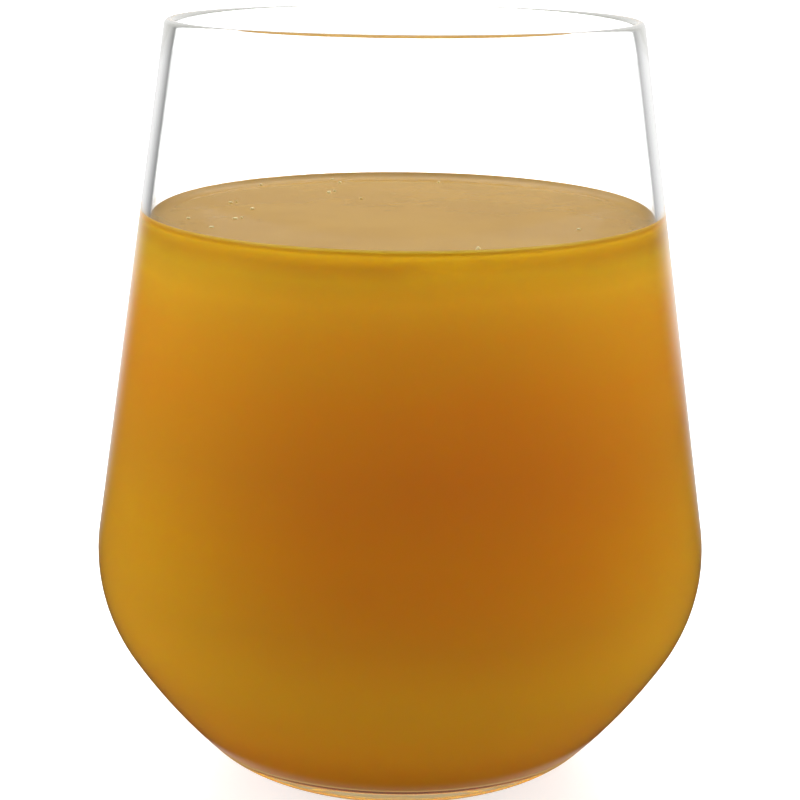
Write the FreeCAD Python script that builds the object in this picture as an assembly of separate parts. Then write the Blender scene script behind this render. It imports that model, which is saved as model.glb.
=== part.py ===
import FreeCAD, Part
import math
import os

# A stemless glass tumbler and the pineapple juice that stands in it, in millimetres.
# +Z is up. The origin is the middle of the foot, on the surface that the glass stands on.
# Both solids are turned about Z from a half section in the XZ plane.
#
# A wall is followed from the rim downwards. Its heading is the angle in degrees between
# the wall and straight down: negative where the wall leans outwards on its way down,
# 0 at the widest place, positive where it comes in, and 90 along a level floor.

HEIGHT = 105.8              # from the foot to the top of the rim
RIM_RADIUS = 33.0           # outer radius just under the rounded rim
WALL = 1.5                  # thickness of the wall from the rim to the shoulder
TAPER = -8.5                # heading of the straight upper wall

# Bends below the straight wall: radius of the bend, and the heading where it ends.
OUTER_BENDS = ((25.0, 32.0), (84.0, 44.0), (10.0, 90.0))    # shoulder, flank, heel
INNER_BENDS = ((23.5, 32.0), (82.5, 44.0), (9.0, 90.0))

FLOOR = 4.8                 # height of the inner floor, which is thicker than the wall
FOOT_RING_WIDTH = 4.0       # flat ring that the glass stands on
PUSH_UP = 1.2               # rise of the hollow under the foot, at its middle

JUICE_LEVEL = 78.9          # height of the juice's flat surface
MENISCUS_RISE = 0.8         # how far the juice climbs the wall above that level
MENISCUS_REACH = 2.4        # how far from the wall the surface starts to climb


def point(radius, height):
    """A point of the half section."""
    return FreeCAD.Vector(radius, 0, height)


def along(start, heading, length):
    """The point reached from start by going length along a heading."""
    turn = math.radians(heading)
    return start + point(-math.sin(turn), -math.cos(turn)) * length


def bend_end(start, radius, heading, end_heading):
    """The point where a bend that starts with one heading has turned to another."""
    turn, end_turn = math.radians(heading), math.radians(end_heading)
    return start + point(math.cos(end_turn) - math.cos(turn), math.sin(turn) - math.sin(end_turn)) * radius


def bends_drop(bends):
    """How far all the bends of a wall go down together."""
    drop, heading = 0.0, TAPER
    for radius, end_heading in bends:
        drop += radius * (math.sin(math.radians(end_heading)) - math.sin(math.radians(heading)))
        heading = end_heading
    return drop


def wall_edges(start, bends, floor):
    """Edges from start down a straight wall and its bends to a level floor, and the last point.

    The straight wall is as long as the bends leave it, so the last point lies at the floor's height.
    """
    straight = (start.z - floor - bends_drop(bends)) / math.cos(math.radians(TAPER))
    here = along(start, TAPER, straight)
    edges = [Part.LineSegment(start, here).toShape()]
    heading = TAPER
    for radius, end_heading in bends:
        middle = bend_end(here, radius, heading, (heading + end_heading) / 2)
        end = bend_end(here, radius, heading, end_heading)
        edges.append(Part.Arc(here, middle, end).toShape())
        here, heading = end, end_heading
    return edges, here


def line(start, end):
    """A straight edge."""
    return Part.LineSegment(start, end).toShape()


def turned(edges):
    """The solid that a closed half section makes when it is turned about Z."""
    section = Part.Face(Part.Wire(Part.__sortEdges__(edges)))
    solid = section.revolve(FreeCAD.Vector(0, 0, 0), FreeCAD.Vector(0, 0, 1), 360)
    return Part.Solid(solid.Shells[0]) if solid.ShapeType != "Solid" else solid


def rim_points():
    """Where the rounded rim starts outside, its middle over the wall, and where it ends inside."""
    round_radius = WALL / 2
    outwards = along(point(0, 0), TAPER - 90, round_radius)
    centre = point(RIM_RADIUS - outwards.x, HEIGHT - round_radius)
    return centre + outwards, along(centre, TAPER, -round_radius), centre - outwards


def tumbler():
    """The glass: an even wall, a rounded rim, a thick floor and a hollow under the foot."""
    outside, crest, inside = rim_points()
    outer, foot_edge = wall_edges(outside, OUTER_BENDS, 0.0)
    inner, floor_edge = wall_edges(inside, INNER_BENDS, FLOOR)

    hollow_radius = foot_edge.x - FOOT_RING_WIDTH
    hollow_edge = point(hollow_radius, 0)
    sphere_radius = (hollow_radius ** 2 + PUSH_UP ** 2) / (2 * PUSH_UP)
    half_way = point(hollow_radius / 2,
                     PUSH_UP - sphere_radius + math.sqrt(sphere_radius ** 2 - (hollow_radius / 2) ** 2))
    foot = [line(foot_edge, hollow_edge), Part.Arc(hollow_edge, half_way, point(0, PUSH_UP)).toShape()]

    rim = [Part.Arc(outside, crest, inside).toShape()]
    axis = [line(point(0, PUSH_UP), point(0, FLOOR))]
    floor = [line(floor_edge, point(0, FLOOR))]
    return turned(outer + foot + axis + floor + inner + rim)


def juice():
    """The juice: it fills the glass up to its level, and climbs the wall in a small meniscus."""
    inside = rim_points()[2]
    contact_height = JUICE_LEVEL + MENISCUS_RISE
    contact = along(inside, TAPER, (inside.z - contact_height) / math.cos(math.radians(TAPER)))
    side, floor_edge = wall_edges(contact, INNER_BENDS, FLOOR)

    level_edge = point(contact.x - MENISCUS_REACH, JUICE_LEVEL)
    climb_radius = (MENISCUS_REACH ** 2 + MENISCUS_RISE ** 2) / (2 * MENISCUS_RISE)
    half_way = point(level_edge.x + MENISCUS_REACH / 2,
                     JUICE_LEVEL + climb_radius - math.sqrt(climb_radius ** 2 - (MENISCUS_REACH / 2) ** 2))
    surface = [Part.Arc(contact, half_way, level_edge).toShape(), line(level_edge, point(0, JUICE_LEVEL))]

    axis = [line(point(0, JUICE_LEVEL), point(0, FLOOR))]
    floor = [line(floor_edge, point(0, FLOOR))]
    return turned(surface + axis + floor + side)


def main():
    """Writes one STEP file for each piece, and prints its volume and its size."""
    os.makedirs("parts", exist_ok=True)
    for name, shape in (("tumbler", tumbler()), ("juice", juice())):
        shape.exportStep(f"parts/{name}.step")
        box = shape.BoundBox
        print(f"{name}: {shape.Volume / 1000:.1f} ml, {box.XLength:.2f} x {box.YLength:.2f} x {box.ZLength:.2f} mm,"
              f" from z {box.ZMin:.2f}, valid {shape.isValid()}")


main()
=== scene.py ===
import enum
import logging
import math
from dataclasses import dataclass

import bmesh
import bpy
from mathutils import Matrix, Vector

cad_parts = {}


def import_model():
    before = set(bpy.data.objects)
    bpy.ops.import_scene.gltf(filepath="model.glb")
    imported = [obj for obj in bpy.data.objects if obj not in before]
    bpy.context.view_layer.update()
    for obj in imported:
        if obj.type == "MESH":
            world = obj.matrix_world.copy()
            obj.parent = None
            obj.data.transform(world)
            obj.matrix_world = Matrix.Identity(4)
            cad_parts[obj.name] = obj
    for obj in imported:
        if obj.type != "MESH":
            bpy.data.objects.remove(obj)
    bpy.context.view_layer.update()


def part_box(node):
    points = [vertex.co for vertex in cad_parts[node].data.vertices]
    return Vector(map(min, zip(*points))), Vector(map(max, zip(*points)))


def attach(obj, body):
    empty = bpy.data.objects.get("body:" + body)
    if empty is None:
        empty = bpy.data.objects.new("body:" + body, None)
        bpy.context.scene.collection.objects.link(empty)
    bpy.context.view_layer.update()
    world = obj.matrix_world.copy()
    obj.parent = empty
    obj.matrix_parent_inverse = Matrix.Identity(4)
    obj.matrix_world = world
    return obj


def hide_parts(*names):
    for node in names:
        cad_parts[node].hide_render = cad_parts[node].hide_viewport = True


# A stemless glass of cloudy pineapple juice, in metres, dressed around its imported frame.
# The frame gives the glass's height, the inner floor and where the juice meets the wall.
# The glass and the juice are each turned about Z from a half section, a line that is drawn
# chord by chord. The bubbles on the juice are small flattened balls in one piece.
# A heading is the way a line goes, as its angle in degrees from straight down: negative where
# it goes outwards as well, 90 where it goes level towards the axis, -90 level away from it.

LOG = logging.getLogger("glass_of_juice")
MM = 0.001
MERGE = 1e-7                # points closer than this are one
NEAR_WALL = (2.0, 3.0)      # glass faces that light crosses in the near wall, and just beyond it
FEW_TURNS = (2.0, 3.0)      # mirror turns that still show the room, and one more
WHITE = (1.0, 1.0, 1.0, 1.0)


class Body(enum.Enum):
    """The frame's bodies that pieces ride on."""

    ROOT = "root"


class Slot(enum.Enum):
    """The record's material slots."""

    GLASS = "clear_glass"
    JUICE = "juice"


# ---------------------------------------------------------------- shader helpers


class Wire:
    """One socket that carries a value. Python expressions on wires add Math nodes."""

    def __init__(self, graph: "Graph", socket: bpy.types.NodeSocket) -> None:
        """Keeps the graph and the socket.

        Args:
            graph: the graph that the socket's node belongs to.
            socket: an output socket.
        """
        self.graph = graph
        self.socket = socket

    def out(self, name: str) -> "Wire":
        """Another output of the same node, by its name."""
        return Wire(self.graph, self.socket.node.outputs[name])

    def _math(self, operation: str, first: object, second: object) -> "Wire":
        """Adds one Math node.

        Args:
            operation: the Math node's operation.
            first: a wire or a number.
            second: a wire or a number.

        Returns:
            The node's value.
        """
        return self.graph.add("ShaderNodeMath", {"operation": operation}, {0: first, 1: second})

    def __add__(self, other: object) -> "Wire":
        """The sum."""
        return self._math("ADD", self, other)

    def __radd__(self, other: object) -> "Wire":
        """The sum, with the wire second."""
        return self._math("ADD", other, self)

    def __sub__(self, other: object) -> "Wire":
        """The difference."""
        return self._math("SUBTRACT", self, other)

    def __rsub__(self, other: object) -> "Wire":
        """The difference, with the wire second."""
        return self._math("SUBTRACT", other, self)

    def __mul__(self, other: object) -> "Wire":
        """The product."""
        return self._math("MULTIPLY", self, other)

    def __rmul__(self, other: object) -> "Wire":
        """The product, with the wire second."""
        return self._math("MULTIPLY", other, self)

    def at_least(self, other: object) -> "Wire":
        """The larger of two values."""
        return self._math("MAXIMUM", self, other)

    def at_most(self, other: object) -> "Wire":
        """The smaller of two values."""
        return self._math("MINIMUM", self, other)

    def rises(self, low: float, high: float) -> "Wire":
        """A smooth step: 0 up to low, and 1 from high on."""
        return self.graph.add("ShaderNodeMapRange", {"interpolation_type": "SMOOTHERSTEP"},
                              {"Value": self, "From Min": low, "From Max": high})


class Graph:
    """A node tree that is filled node by node."""

    def __init__(self, tree: bpy.types.NodeTree) -> None:
        """Empties the tree.

        Args:
            tree: the node tree of a material or of the world.
        """
        self.tree = tree
        tree.nodes.clear()

    def add(self, kind: str, settings: dict | None = None, inputs: dict | None = None) -> Wire:
        """Adds one node, sets it up and links it.

        Args:
            kind: the node's type.
            settings: its properties, and the stops of a ramp as (place, colour) pairs.
            inputs: a value or a wire for each input, by its name or its number.

        Returns:
            The node's first output that is in use, or its first output.
        """
        node = self.tree.nodes.new(kind)
        for name, value in (settings or {}).items():
            if name == "stops":
                self._set_stops(node.color_ramp, value)
            else:
                setattr(node, name, value)
        for key, value in (inputs or {}).items():
            socket = self._input(node, key)
            if isinstance(value, Wire):
                self.tree.links.new(value.socket, socket)
            else:
                socket.default_value = value
        used = [s for s in node.outputs if s.enabled]
        return Wire(self, (used or [None])[0])

    @staticmethod
    def _set_stops(ramp: bpy.types.ColorRamp, stops: list) -> None:
        """Gives a ramp its stops.

        Args:
            ramp: the ramp of a Color Ramp node.
            stops: (place, colour) pairs, in order.
        """
        while len(ramp.elements) < len(stops):
            ramp.elements.new(1.0)
        for element, (place, colour) in zip(ramp.elements, stops):
            element.position = place
            element.color = (*colour, 1.0)

    @staticmethod
    def _input(node: bpy.types.Node, key: str | int) -> bpy.types.NodeSocket:
        """Finds an input that is in use.

        Args:
            node: the node.
            key: the input's name, or its number.

        Returns:
            The socket.
        """
        if isinstance(key, int):
            return node.inputs[key]
        return next(s for s in node.inputs if s.name == key and s.enabled)

    def finish(self, kind: str, surface: Wire) -> None:
        """Adds the output node.

        Args:
            kind: the output node's type.
            surface: the shader that it takes.
        """
        output = self.tree.nodes.new(kind)
        self.tree.links.new(surface.socket, output.inputs["Surface"])


def new_material(name: str) -> tuple[bpy.types.Material, Graph]:
    """Makes an empty node material.

    Args:
        name: the material's name.

    Returns:
        The material and its graph.
    """
    material = bpy.data.materials.new(name)
    material.use_nodes = True
    return material, Graph(material.node_tree)


# ---------------------------------------------------------------- finishes


@dataclass(frozen=True)
class ClearGlass:
    """Fire-polished soda glass: clear, with the faint waves of a pressed and blown wall."""

    ior: float = 1.5
    tint: tuple[float, float, float] = (0.992, 0.996, 0.994)
    wave_scale: float = 55.0
    wave_height: float = 0.00002
    roughness: float = 0.006
    guided: tuple[float, float] = (5.0, 8.0)     # turns of light in the wall, over which it fades to the painted glow
    # Painted light: a pale grey glow of the glass itself, standing in for light that turns many times in the
    # wall.
    painted_stray_glow: tuple[float, float, float] = (0.62, 0.62, 0.58)

    def material(self) -> bpy.types.Material:
        """Builds the finish.

        Returns:
            The material.
        """
        material, graph = new_material("clear_glass")
        place = graph.add("ShaderNodeTexCoord").out("Object")
        waves = graph.add("ShaderNodeTexNoise", {}, {
            "Vector": place, "Scale": self.wave_scale, "Detail": 1.0})
        bump = graph.add("ShaderNodeBump", {}, {
            "Height": waves, "Distance": self.wave_height, "Strength": 1.0})
        glass = graph.add("ShaderNodeBsdfPrincipled", {}, {
            "Base Color": (*self.tint, 1.0), "Transmission Weight": 1.0, "IOR": self.ior,
            "Roughness": waves * self.roughness, "Normal": bump,
        })
        path = graph.add("ShaderNodeLightPath")
        # The glass glows pale grey where light has turned many times: painted light.
        painted_stray_glow = graph.add("ShaderNodeEmission", {}, {"Color": (*self.painted_stray_glow, 1.0), "Strength": 1.0})
        guided = path.out("Ray Depth").rises(*self.guided)
        wall = graph.add("ShaderNodeMixShader", {}, {0: guided, 1: glass, 2: painted_stray_glow})
        clear = graph.add("ShaderNodeBsdfTransparent")
        lamp_light = path.out("Is Shadow Ray").at_least(path.out("Is Diffuse Ray"))
        graph.finish("ShaderNodeOutputMaterial",
                     graph.add("ShaderNodeMixShader", {}, {0: lamp_light, 1: wall, 2: clear}))
        return material


@dataclass(frozen=True)
class WetPulp:
    """The fine pulp in the juice's wet skin: it makes the gloss a little uneven."""

    scale: float = 900.0
    depth: float = 0.00001
    strength: float = 0.5
    smooth: float = 0.03
    rough: float = 0.03

    def skin(self, graph: Graph, place: Wire) -> dict[str, Wire]:
        """Builds the skin's roughness and relief.

        Args:
            graph: the graph to work in.
            place: a point of the juice.

        Returns:
            The two inputs of a Principled node.
        """
        pulp = graph.add("ShaderNodeTexNoise", {}, {"Vector": place, "Scale": self.scale, "Detail": 2.0})
        bump = graph.add("ShaderNodeBump", {}, {
            "Height": pulp, "Distance": self.depth, "Strength": self.strength})
        return {"Roughness": self.smooth + pulp * self.rough, "Normal": bump}


@dataclass(frozen=True)
class CloudyJuice:
    """Pineapple juice: light goes a good way into it, and comes out golden at thin places."""

    name: str
    floor: float
    contact: float
    ior: float = 1.345
    under_glass: tuple[float, float, float] = (0.90, 0.80, 0.62)
    under_glass_roughness: float = 0.02
    reach: tuple[float, float, float] = (0.025, 0.018, 0.005)      # of red, green and blue light
    drift_scale: float = 28.0
    drift_share: float = 0.08       # how far the drift moves the layers, as a share of the depth
    # Painted shade: a darker orange patch fixed at the front of the drink, where light takes the longest way
    # through it.
    painted_shade_middle: tuple[float, float, float] = (0.009, -0.041, 0.043)
    painted_shade_shape: tuple[float, float, float] = (1.0, 1.0, 1.8)
    painted_shade_full: float = 0.005
    painted_shade_gone: float = 0.055
    painted_shade_ragged: float = 0.016
    painted_shade_tint: tuple[float, float, float] = (1.0, 0.70, 0.85)
    brim: float = 0.0004            # the thin edge at the wall, below the contact
    brim_start: float = 3.0         # times the brim, where the thin edge begins
    brim_share: float = 0.85
    brim_colour: tuple[float, float, float] = (0.74, 0.31, 0.01)
    # Colours by height, from the inner floor at 0 to the contact at 1. They are partly the juice's own colour
    # and partly painted light: the lighter, more golden band near the top is painted light that comes in
    # through the open surface.
    stops: tuple[tuple[float, tuple[float, float, float]], ...] = (
        (0.0, (0.769, 0.266, 0.002)),
        (0.096, (0.727, 0.314, 0.012)),
        (0.203, (0.619, 0.304, 0.014)),
        (0.336, (0.571, 0.289, 0.014)),
        (0.470, (0.631, 0.322, 0.013)),
        (0.603, (0.627, 0.288, 0.015)),
        (0.737, (0.680, 0.290, 0.015)),
        (0.844, (0.691, 0.334, 0.018)),
        (0.911, (0.665, 0.393, 0.022)),
        (0.951, (0.544, 0.350, 0.021)),
        (0.975, (0.413, 0.238, 0.019)),
        (1.0, (0.397, 0.215, 0.016)),
    )

    def material(self) -> bpy.types.Material:
        """Builds the finish of the body, as it is seen under glass.

        Returns:
            The material.
        """
        material, graph = new_material(self.name)
        place = graph.add("ShaderNodeTexCoord").out("Object")
        height = graph.add("ShaderNodeSeparateXYZ", {}, {"Vector": place}).out("Z")
        drift = graph.add("ShaderNodeTexNoise", {}, {
            "Vector": place, "Scale": self.drift_scale, "Detail": 4.0})
        share = ((height - self.floor) * (1.0 / (self.contact - self.floor))
                 + (drift - 0.5) * self.drift_share)
        # Colour by height: the juice's own colour with painted light in it.
        clear = graph.add("ShaderNodeValToRGB", {"stops": self.stops}, {"Fac": share})
        # The colour by height is multiplied by the painted shade's darker orange at the front.
        colour = graph.add("ShaderNodeMix", {"data_type": "RGBA", "blend_type": "MULTIPLY"}, {
            "Factor": self._painted_shade(graph, place, drift), "A": clear, "B": (*self.painted_shade_tint, 1.0)})
        juice = graph.add("ShaderNodeBsdfPrincipled", {"subsurface_method": "RANDOM_WALK"}, {
            "Base Color": colour, "IOR": self.ior, "Specular IOR Level": 0.0,
            "Subsurface Weight": 1.0, "Subsurface Radius": self.reach, "Subsurface Scale": 1.0,
            **WetPulp().skin(graph, place),
        })
        thin = graph.add("ShaderNodeBsdfDiffuse", {}, {"Color": (*self.brim_colour, 1.0)})
        below = self.contact - self.brim * self.brim_start
        brim = height.rises(below, self.contact - self.brim) * self.brim_share
        filled = graph.add("ShaderNodeMixShader", {}, {0: brim, 1: juice, 2: thin})
        mirror = graph.add("ShaderNodeBsdfGlossy", {}, {
            "Color": (*self.under_glass, 1.0), "Roughness": self.under_glass_roughness})
        grazing = graph.add("ShaderNodeFresnel", {}, {"IOR": self.ior / ClearGlass.ior})
        graph.finish("ShaderNodeOutputMaterial",
                     graph.add("ShaderNodeMixShader", {}, {0: grazing, 1: filled, 2: mirror}))
        return material

    def _painted_shade(self, graph: Graph, place: Wire, drift: Wire) -> Wire:
        """A painted shade: a darker orange patch at the front of the juice, where light takes the longest way
        through the drink.

        Args:
            graph: the graph to work in.
            place: a point of the juice.
            drift: noise that makes the painted shade's border ragged.

        Returns:
            1 inside the painted shade, falling to 0 around it.
        """
        offset = graph.add("ShaderNodeVectorMath", {"operation": "SUBTRACT"},
                           {0: place, 1: self.painted_shade_middle})
        shaped = graph.add("ShaderNodeVectorMath", {"operation": "MULTIPLY"},
                           {0: offset, 1: self.painted_shade_shape})
        away = graph.add("ShaderNodeVectorMath", {"operation": "LENGTH"}, {0: shaped}).out("Value")
        border = away + (drift - 0.5) * self.painted_shade_ragged
        return 1.0 - border.rises(self.painted_shade_full, self.painted_shade_gone)


@dataclass(frozen=True)
class JuiceSurface:
    """The juice's open surface: a wet, tan skin of pulp with a soft gloss."""

    name: str
    ior: float = 1.345
    pale: tuple[float, float, float] = (0.44, 0.245, 0.034)
    deep: tuple[float, float, float] = (0.40, 0.215, 0.026)
    drift_scale: float = 60.0
    drift_range: tuple[float, float] = (0.3, 0.7)

    def material(self) -> bpy.types.Material:
        """Builds the finish.

        Returns:
            The material.
        """
        material, graph = new_material(self.name)
        place = graph.add("ShaderNodeTexCoord").out("Object")
        drift = graph.add("ShaderNodeTexNoise", {}, {
            "Vector": place, "Scale": self.drift_scale, "Detail": 5.0})
        colour = graph.add("ShaderNodeMix", {"data_type": "RGBA"}, {
            "Factor": drift.rises(*self.drift_range), "A": (*self.deep, 1.0), "B": (*self.pale, 1.0)})
        graph.finish("ShaderNodeOutputMaterial", graph.add("ShaderNodeBsdfPrincipled", {}, {
            "Base Color": colour, "IOR": self.ior, **WetPulp().skin(graph, place)}))
        return material


@dataclass(frozen=True)
class Foam:
    """Pale foam: small bubbles and beads that are a little lighter than the juice."""

    name: str = "pale_foam"
    pale: tuple[float, float, float] = (0.97, 0.87, 0.48)
    tan: tuple[float, float, float] = (0.88, 0.70, 0.30)
    ior: float = 1.33
    drift_scale: float = 400.0
    drift_range: tuple[float, float] = (0.35, 0.65)
    relief: float = 0.00002
    smooth: float = 0.35
    rough: float = 0.2

    def material(self) -> bpy.types.Material:
        """Builds the finish.

        Returns:
            The material.
        """
        material, graph = new_material(self.name)
        place = graph.add("ShaderNodeTexCoord").out("Object")
        drift = graph.add("ShaderNodeTexNoise", {}, {
            "Vector": place, "Scale": self.drift_scale, "Detail": 2.0})
        colour = graph.add("ShaderNodeMix", {"data_type": "RGBA"}, {
            "Factor": drift.rises(*self.drift_range), "A": (*self.tan, 1.0), "B": (*self.pale, 1.0)})
        bump = graph.add("ShaderNodeBump", {}, {
            "Height": drift, "Distance": self.relief, "Strength": 0.6})
        graph.finish("ShaderNodeOutputMaterial", graph.add("ShaderNodeBsdfPrincipled", {}, {
            "Base Color": colour, "Roughness": self.smooth + drift * self.rough,
            "IOR": self.ior, "Normal": bump}))
        return material


@dataclass(frozen=True)
class Edge:
    """One side of the white field: where it is last full and where it is gone, in degrees from behind."""

    full: float
    gone: float


@dataclass(frozen=True)
class Backlight:
    """The white field behind the glass, as glossy things mirror it: it ends at a left and a right edge."""

    near: tuple[Edge, Edge] = (Edge(12.0, 52.0), Edge(12.0, 52.0))     # on the floor round the glass
    far: tuple[Edge, Edge] = (Edge(14.0, 50.0), Edge(18.0, 55.0))      # further out, and on the wall
    dim: float = 0.03                                                  # the brightness beside it
    near_radius: float = 0.25
    far_radius: float = 0.45

    def on_floor(self, graph: Graph, place: Wire) -> Wire:
        """The field's brightness at a point of the floor.

        Args:
            graph: the graph to work in.
            place: the point.

        Returns:
            1 where the field is full, falling to the dim level beside it.
        """
        reach = graph.add("ShaderNodeVectorMath", {"operation": "LENGTH"}, {0: place}).out("Value")
        away = reach.rises(self.near_radius, self.far_radius)
        near = self._between(graph, place, self.near)
        return near + (self._between(graph, place, self.far) - near) * away

    def in_air(self, graph: Graph, direction: Wire) -> Wire:
        """The field's brightness on the far wall, by the way one looks."""
        return self._between(graph, direction, self.far)

    def _between(self, graph: Graph, place: Wire, edges: tuple[Edge, Edge]) -> Wire:
        """The field's brightness between two edges.

        Args:
            graph: the graph to work in.
            place: a point or a direction, from the glass.
            edges: the left edge and the right edge.

        Returns:
            The brightness.
        """
        parts = graph.add("ShaderNodeSeparateXYZ", {}, {"Vector": place})
        turn = graph.add("ShaderNodeMath", {"operation": "ARCTAN2"}, {0: parts, 1: parts.out("Y")})
        left, right = edges
        inside_left = turn.rises(math.radians(-left.gone), math.radians(-left.full))
        past_right = turn.rises(math.radians(right.full), math.radians(right.gone))
        return inside_left * (1.0 - past_right) * (1.0 - self.dim) + self.dim


def mirrored(graph: Graph) -> Wire:
    """1 for what the near side of the glass mirrors, and 0 for what is seen through it or falls on things."""
    path = graph.add("ShaderNodeLightPath")
    turned_back = path.out("Glossy Depth").at_most(1.0) * (1.0 - path.out("Is Diffuse Ray"))
    return turned_back * (1.0 - path.out("Transmission Depth").rises(*NEAR_WALL))


def looked_at(graph: Graph) -> Wire:
    """1 for the camera's view, straight or through glass, and 0 for mirrored things and for light."""
    path = graph.add("ShaderNodeLightPath")
    seen = path.out("Is Camera Ray").at_least(path.out("Is Transmission Ray"))
    return seen * (1.0 - mirrored(graph))


@dataclass(frozen=True)
class PaleFloor:
    """The studio floor: a pale diffuse sheet that reads as white where nothing shades it."""

    colour: tuple[float, float, float] = (0.82, 0.82, 0.82)
    lift: float = 0.57              # glow that turns the lit sheet white to the eye
    far_lift: float = 0.6           # and more of it where the lamps don't reach
    far: tuple[float, float] = (0.3, 1.2)
    foot: float = 0.027             # the sheet this near mirrors in the glass as a painted tan reflection
    foot_blend: float = 1.15
    # Painted reflection: the tan that the glass's foot mirrors of the floor right under it, not the floor's
    # own pale grey.
    painted_foot_reflection: tuple[float, float, float] = (0.50, 0.31, 0.10)
    backlight: Backlight = Backlight()

    def material(self) -> bpy.types.Material:
        """Builds the finish.

        Returns:
            The material.
        """
        material, graph = new_material("pale_floor")
        place = graph.add("ShaderNodeTexCoord").out("Object")
        reach = graph.add("ShaderNodeVectorMath", {"operation": "LENGTH"}, {0: place}).out("Value")
        sheet = graph.add("ShaderNodeBsdfDiffuse", {}, {"Color": (*self.colour, 1.0)})
        lift = self.lift + reach.rises(*self.far) * self.far_lift
        glow = graph.add("ShaderNodeEmission", {}, {"Color": looked_at(graph) * lift})
        lit = graph.add("ShaderNodeAddShader", {}, {0: sheet, 1: glow})
        # Right under the foot, what the glass mirrors of the floor is the painted tan reflection.
        around = reach.rises(self.foot, self.foot * self.foot_blend)
        tone = graph.add("ShaderNodeMix", {"data_type": "RGBA"},
                         {"Factor": around, "A": (*self.painted_foot_reflection, 1.0), "B": WHITE})
        strength = self.backlight.on_floor(graph, place) * around + (1.0 - around)
        field = graph.add("ShaderNodeMix", {"data_type": "RGBA", "blend_type": "MULTIPLY"},
                          {"Factor": 1.0, "A": tone, "B": strength})
        gleam = graph.add("ShaderNodeEmission", {}, {"Color": field})
        graph.finish("ShaderNodeOutputMaterial",
                     graph.add("ShaderNodeMixShader", {}, {0: mirrored(graph), 1: lit, 2: gleam}))
        return material


@dataclass(frozen=True)
class StudioAir:
    """The surroundings: white to the eye, an even soft light, and a warm far wall in reflections."""

    ambient: float = 0.65
    from_behind: float = 0.5        # how much brighter it is behind than at the sides
    wall: tuple[float, float, float] = (0.60, 0.47, 0.32)
    above: tuple[float, float, float] = (2.2, 2.1, 1.9)
    rise: tuple[float, float] = (0.2, 0.7)      # sines of the heights between wall and above
    backlight: Backlight = Backlight()

    def world(self) -> bpy.types.World:
        """Builds the surroundings.

        Returns:
            The world.
        """
        world = bpy.data.worlds.new("studio_air")
        world.use_nodes = True
        graph = Graph(world.node_tree)
        direction = graph.add("ShaderNodeTexCoord").out("Generated")
        parts = graph.add("ShaderNodeSeparateXYZ", {}, {"Vector": direction})
        path = graph.add("ShaderNodeLightPath")
        eye = looked_at(graph)
        mirror = mirrored(graph)
        through = path.out("Transmission Depth").rises(*NEAR_WALL) * path.out("Is Transmission Ray")
        turned_back = path.out("Glossy Depth")
        beyond = (turned_back.at_most(1.0) - turned_back.rises(*FEW_TURNS)) * through
        ambient = (1.0 + parts.out("Y") * self.from_behind) * self.ambient
        light = eye + mirror * self.backlight.in_air(graph, direction) + (1.0 - eye - mirror) * ambient
        room = graph.add("ShaderNodeMix", {"data_type": "RGBA"}, {
            "Factor": parts.out("Z").rises(*self.rise), "A": (*self.wall, 1.0), "B": (*self.above, 1.0)})
        colour = graph.add("ShaderNodeMix", {"data_type": "RGBA"}, {"Factor": beyond, "A": WHITE, "B": room})
        sky = graph.add("ShaderNodeBackground", {}, {"Color": colour, "Strength": light})
        graph.finish("ShaderNodeOutputWorld", sky)
        return world


# ---------------------------------------------------------------- half sections


@dataclass(frozen=True)
class Bend:
    """A bend of the wall: its radius, the heading where it ends, and how many chords it takes."""

    radius: float
    end_heading: float
    chords: int


class HalfSection:
    """A half section in the XZ plane, which is drawn by moving along it."""

    def __init__(self, radius: float, height: float, heading: float) -> None:
        """Starts with one point.

        Args:
            radius: the point's distance from the axis.
            height: its height.
            heading: the first heading, in degrees.
        """
        self.mesh = bmesh.new()
        self.tip = self.mesh.verts.new((radius, 0.0, height))
        self.heading = heading

    @staticmethod
    def direction(heading: float) -> Vector:
        """The unit step along a heading."""
        turn = math.radians(heading)
        return Vector((-math.sin(turn), 0.0, -math.cos(turn)))

    def face(self, heading: float) -> None:
        """Turns on the spot."""
        self.heading = heading

    def straight(self, length: float, chords: int = 1) -> None:
        """Goes straight on.

        Args:
            length: how far.
            chords: how many equal steps it takes.
        """
        for _ in range(chords):
            made = bmesh.ops.extrude_vert_indiv(self.mesh, verts=[self.tip])["verts"]
            step = self.direction(self.heading) * (length / chords)
            bmesh.ops.translate(self.mesh, vec=step, verts=made)
            self.tip = made[0]

    def bend(self, radius: float, end_heading: float, chords: int) -> None:
        """Turns on an arc.

        Args:
            radius: the arc's radius.
            end_heading: the heading where it ends.
            chords: how many equal steps it takes.
        """
        side = math.copysign(90.0, end_heading - self.heading)
        centre = self.tip.co + self.direction(self.heading + side) * radius
        turn = math.radians(end_heading - self.heading)
        made = bmesh.ops.spin(self.mesh, geom=[self.tip], cent=centre, axis=(0, 1, 0), dvec=(0, 0, 0),
                              angle=turn, steps=chords, use_duplicate=False)
        self.tip = made["geom_last"][0]
        self.heading = end_heading

    def turned(self, name: str, steps: int) -> bpy.types.Object:
        """Turns the section about Z into a closed piece.

        Args:
            name: the piece's name.
            steps: how many faces go round it.

        Returns:
            The piece.
        """
        bm = self.mesh
        bmesh.ops.spin(bm, geom=[*bm.verts, *bm.edges], cent=(0, 0, 0), axis=(0, 0, 1), dvec=(0, 0, 0),
                       angle=math.tau, steps=steps, use_merge=True, use_duplicate=False)
        bmesh.ops.remove_doubles(bm, verts=bm.verts, dist=MERGE)
        bmesh.ops.recalc_face_normals(bm, faces=bm.faces)
        return piece_from(bm, name)


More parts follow.
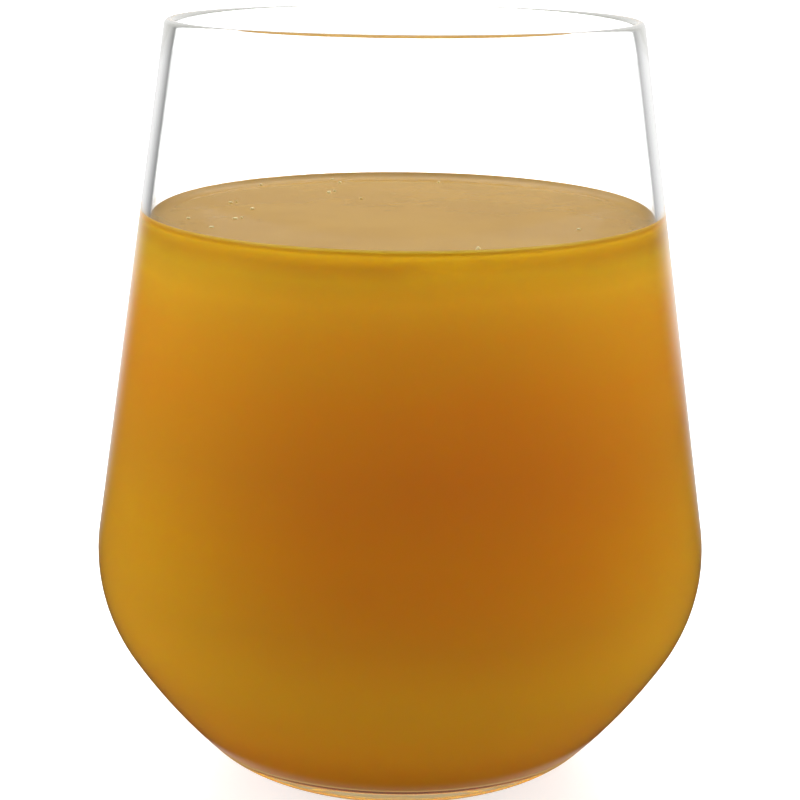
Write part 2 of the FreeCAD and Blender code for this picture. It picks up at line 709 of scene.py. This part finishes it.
def piece_from(bm: bmesh.types.BMesh, name: str) -> bpy.types.Object:
    """Makes a smooth-shaded object of a finished mesh.

    Args:
        bm: the mesh, which is freed.
        name: the object's name.

    Returns:
        The object, which is linked to the scene.
    """
    for face in bm.faces:
        face.smooth = True
    mesh = bpy.data.meshes.new(name)
    bm.to_mesh(mesh)
    bm.free()
    piece = bpy.data.objects.new(name, mesh)
    bpy.context.scene.collection.objects.link(piece)
    return piece


# ---------------------------------------------------------------- the glass and the juice


@dataclass(frozen=True)
class Wall:
    """The glass's half section: a rounded rim, a straight taper and three bends on each side."""

    height: float
    floor: float
    rim_radius: float = 33.0 * MM
    thickness: float = 1.5 * MM
    taper: float = -8.5
    outer_bends: tuple[Bend, ...] = (
        Bend(25.0 * MM, 32.0, 18), Bend(84.0 * MM, 44.0, 8), Bend(10.0 * MM, 90.0, 16))
    inner_bends: tuple[Bend, ...] = (
        Bend(23.5 * MM, 32.0, 18), Bend(82.5 * MM, 44.0, 8), Bend(9.0 * MM, 90.0, 16))
    straight_chords: int = 14
    floor_chords: int = 8

    def side(self, share: float) -> Vector:
        """A point at the rim's round: share is 1 on its outer side, 0 in its middle, -1 inside."""
        middle = Vector((self.rim_radius, 0.0, self.height - self.thickness / 2))
        across = HalfSection.direction(self.taper - 90.0) * (self.thickness / 2)
        return middle + across * share - Vector((across.x, 0.0, 0.0))

    def straight_length(self, drop: float, bends: tuple[Bend, ...]) -> float:
        """How long the straight wall is.

        Args:
            drop: how far the wall goes down in all.
            bends: the bends below the straight wall.

        Returns:
            The length that the bends leave.
        """
        heading = self.taper
        for bend in bends:
            sines = math.sin(math.radians(bend.end_heading)) - math.sin(math.radians(heading))
            drop -= bend.radius * sines
            heading = bend.end_heading
        return drop / math.cos(math.radians(self.taper))

    def go_down(self, section: HalfSection, bends: tuple[Bend, ...], floor: float) -> None:
        """Follows a wall from where the section is down to a level floor, and on to the axis.

        Args:
            section: the section, at the top of the wall.
            bends: the bends below the straight wall.
            floor: the floor's height.
        """
        section.face(self.taper)
        section.straight(self.straight_length(section.tip.co.z - floor, bends), self.straight_chords)
        for bend in bends:
            section.bend(bend.radius, bend.end_heading, bend.chords)
        section.straight(section.tip.co.x, self.floor_chords)


@dataclass
class Tumbler:
    """The stemless glass, turned from its wall, with a thick floor and a hollow under the foot."""

    wall: Wall
    foot_ring: float = 4.0 * MM
    push_up: float = 1.2 * MM
    hollow_chords: int = 10
    foot_chords: int = 3
    rim_chords: int = 16
    steps: int = 224

    def build(self) -> bpy.types.Object:
        """Builds the glass.

        Returns:
            The dressed piece.
        """
        wall = self.wall
        top = wall.side(1.0)
        length = wall.straight_length(top.z, wall.outer_bends)
        foot_radius = self._foot_radius(top, length)
        hollow = foot_radius - self.foot_ring
        dome = (hollow ** 2 + self.push_up ** 2) / (2 * self.push_up)

        section = HalfSection(0.0, self.push_up, -90.0)
        section.bend(dome, -90.0 + math.degrees(math.asin(hollow / dome)), self.hollow_chords)
        section.face(-90.0)
        section.straight(self.foot_ring, self.foot_chords)
        starts = [wall.taper, *(bend.end_heading for bend in wall.outer_bends)]
        for bend, start in reversed([*zip(wall.outer_bends, starts)]):
            section.bend(bend.radius, start - 180.0, bend.chords)
        section.straight(length, wall.straight_chords)
        section.face(wall.taper + 180.0)
        section.bend(wall.thickness / 2, wall.taper, self.rim_chords)
        wall.go_down(section, wall.inner_bends, wall.floor)
        piece = section.turned("tumbler_glass", self.steps)
        piece.data.materials.append(ClearGlass().material())
        return piece

    def _foot_radius(self, top: Vector, length: float) -> float:
        """Where the outer wall meets the level foot.

        Args:
            top: where the outer wall starts at the rim.
            length: the straight wall's length.

        Returns:
            The radius.
        """
        probe = HalfSection(top.x, top.z, self.wall.taper)
        probe.straight(length)
        for bend in self.wall.outer_bends:
            probe.bend(bend.radius, bend.end_heading, bend.chords)
        radius = probe.tip.co.x
        probe.mesh.free()
        return radius


@dataclass
class Juice:
    """The drink: it fills the glass to its level, climbs the wall a little, and reaches into it."""

    wall: Wall
    contact: float
    rise: float = 0.8 * MM
    reach: float = 2.4 * MM
    bite: float = 0.12 * MM
    surface_chords: int = 16
    climb_chords: int = 10
    steps: int = 192

    @property
    def level(self) -> float:
        """The height of the flat surface."""
        return self.contact - self.rise

    def build(self) -> bpy.types.Object:
        """Builds the drink.

        Returns:
            The dressed piece.
        """
        wall = self.wall
        top = wall.side(-1.0)
        lean = math.radians(wall.taper)
        edge = top.x - math.tan(lean) * (top.z - self.contact) + self.bite
        climb = (self.reach ** 2 + self.rise ** 2) / (2 * self.rise)
        bends = tuple(Bend(b.radius + self.bite, b.end_heading, b.chords) for b in wall.inner_bends)

        section = HalfSection(0.0, self.level, -90.0)
        section.straight(edge - self.reach, self.surface_chords)
        section.bend(climb, -90.0 - math.degrees(math.asin(self.reach / climb)), self.climb_chords)
        wall.go_down(section, bends, wall.floor - self.bite)
        piece = section.turned("pineapple_juice", self.steps)
        self._dress(piece)
        return piece

    def _dress(self, piece: bpy.types.Object) -> None:
        """Gives the open surface and the body under the glass their finishes.

        Args:
            piece: the drink.
        """
        body = CloudyJuice("juice_body", self.wall.floor, self.contact)
        surface = JuiceSurface("juice_surface")
        piece.data.materials.append(body.material())
        piece.data.materials.append(surface.material())
        lowest = self.level - 0.1 * MM
        least_up = 0.3
        for face in piece.data.polygons:
            face.material_index = int(face.center.z > lowest and face.normal.z > least_up)


@dataclass(frozen=True)
class Bubble:
    """One bubble on the surface: where it floats, its radius and its height, in millimetres."""

    x: float
    y: float
    radius: float
    height: float = 0.2


@dataclass
class Bubbles:
    """The small pale bubbles on the juice, most of them at the left, and one bead at the front edge."""

    level: float
    lift: float = 0.02 * MM
    floating: tuple[Bubble, ...] = (
        Bubble(-25.1, 7.3, 0.34), Bubble(-24.3, 8.1, 0.19), Bubble(-11.2, 18.0, 0.37),
        Bubble(-10.4, 19.3, 0.22), Bubble(-9.9, 28.4, 0.28), Bubble(-11.3, 31.7, 0.33),
        Bubble(-20.4, 29.6, 0.26), Bubble(-22.1, 25.2, 0.30), Bubble(-21.4, 1.7, 0.33),
        Bubble(-29.4, -7.1, 0.28), Bubble(-25.4, -14.5, 0.33), Bubble(-23.0, -7.1, 0.37),
        Bubble(-22.2, -6.4, 0.19), Bubble(-6.2, 12.0, 0.26), Bubble(5.6, 29.5, 0.24),
        Bubble(23.4, -13.7, 0.28), Bubble(9.3, -32.4, 0.40, 0.9),
    )

    def build(self) -> bpy.types.Object:
        """Builds the bubbles.

        Returns:
            The dressed piece.
        """
        bm = bmesh.new()
        for bubble in self.floating:
            middle = Vector((bubble.x * MM, bubble.y * MM, self.level + self.lift))
            shape = Matrix.Diagonal((bubble.radius, bubble.radius, bubble.height, 1.0))
            place = Matrix.Translation(middle) @ shape
            bmesh.ops.create_icosphere(bm, subdivisions=2, radius=MM, matrix=place)
        piece = piece_from(bm, "foam_bubbles")
        piece.data.materials.append(Foam().material())
        return piece


# ---------------------------------------------------------------- the studio


@dataclass(frozen=True)
class SoftBox:
    """A soft lamp: where it stands, how wide it is, and its power."""

    name: str
    place: tuple[float, float, float]
    size: float
    power: float


@dataclass
class Studio:
    """A pale floor, soft lamps and the camera."""

    aim: Vector
    distance: float = 0.2782
    eye: float = 0.12305
    pitch: float = 14.42
    view_angle: float = 22.75
    roll: float = 0.5
    side: float = -0.0002
    sensor: float = 36.0
    nearest: float = 0.01
    floor_radius: float = 4.0
    bounces: int = 24
    glossy_bounces: int = 12
    lamps: tuple[SoftBox, ...] = (
        SoftBox("back_soft_box", (0.0, 0.9, 0.55), 0.9, 18.0),
        SoftBox("left_soft_box", (-0.8, 0.25, 0.5), 0.6, 2.8),
        SoftBox("right_soft_box", (0.8, 0.25, 0.5), 0.6, 2.0),
    )

    def build(self) -> None:
        """Sets up everything that isn't part of the glass."""
        self._floor()
        bpy.context.scene.world = StudioAir().world()
        for lamp in self.lamps:
            self._lamp(lamp)
        self._camera()
        scene = bpy.context.scene
        scene.view_settings.view_transform = "Standard"
        scene.cycles.max_bounces = self.bounces
        scene.cycles.glossy_bounces = self.glossy_bounces
        scene.cycles.transmission_bounces = self.bounces

    def _floor(self) -> None:
        """Lays the floor."""
        bm = bmesh.new()
        bmesh.ops.create_circle(bm, cap_ends=True, segments=96, radius=self.floor_radius)
        floor = piece_from(bm, "floor")
        floor.data.materials.append(PaleFloor().material())

    def _lamp(self, box: SoftBox) -> None:
        """Hangs one soft lamp that looks at the glass.

        Args:
            box: the lamp's place, size and power.
        """
        data = bpy.data.lights.new(box.name, "AREA")
        data.shape = "DISK"
        data.size = box.size
        data.energy = box.power
        lamp = bpy.data.objects.new(box.name, data)
        lamp.location = box.place
        lamp.rotation_euler = (Vector(box.place) - self.aim).to_track_quat("Z", "Y").to_euler()
        lamp.visible_glossy = False
        lamp.visible_transmission = False
        lamp.visible_camera = False
        bpy.context.scene.collection.objects.link(lamp)

    def _camera(self) -> None:
        """Puts the camera a little above the rim, looking down at the glass."""
        data = bpy.data.cameras.new("camera")
        data.sensor_width = self.sensor
        data.lens = data.sensor_width / (2 * math.tan(math.radians(self.view_angle) / 2))
        data.clip_start = self.nearest
        camera = bpy.data.objects.new("camera", data)
        camera.location = (self.side, -self.distance, self.eye)
        aim = Matrix.Rotation(math.radians(90.0 - self.pitch), 3, "X")
        camera.rotation_euler = (aim @ Matrix.Rotation(math.radians(self.roll), 3, "Z")).to_euler()
        bpy.context.scene.collection.objects.link(camera)
        bpy.context.scene.camera = camera


def main() -> None:
    """Builds the pieces around the frame, and the studio."""
    logging.basicConfig(level=logging.INFO, format="%(name)s: %(message)s")
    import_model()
    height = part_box("tumbler")[1].z
    floor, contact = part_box("juice")[0].z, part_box("juice")[1].z
    wall = Wall(height, floor)

    glass = Tumbler(wall).build()
    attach(glass, Body.ROOT.value)
    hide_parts("tumbler")
    LOG.info("%s: %d faces", glass.name, len(glass.data.polygons))

    juice = Juice(wall, contact).build()
    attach(juice, Body.ROOT.value)
    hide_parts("juice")
    LOG.info("%s: %d faces", juice.name, len(juice.data.polygons))

    bubbles = Bubbles(contact - Juice.rise).build()
    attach(bubbles, Body.ROOT.value)
    LOG.info("%s: %d faces", bubbles.name, len(bubbles.data.polygons))

    Studio(Vector((0.0, 0.0, height / 2))).build()


if __name__ == "__main__":
    main()
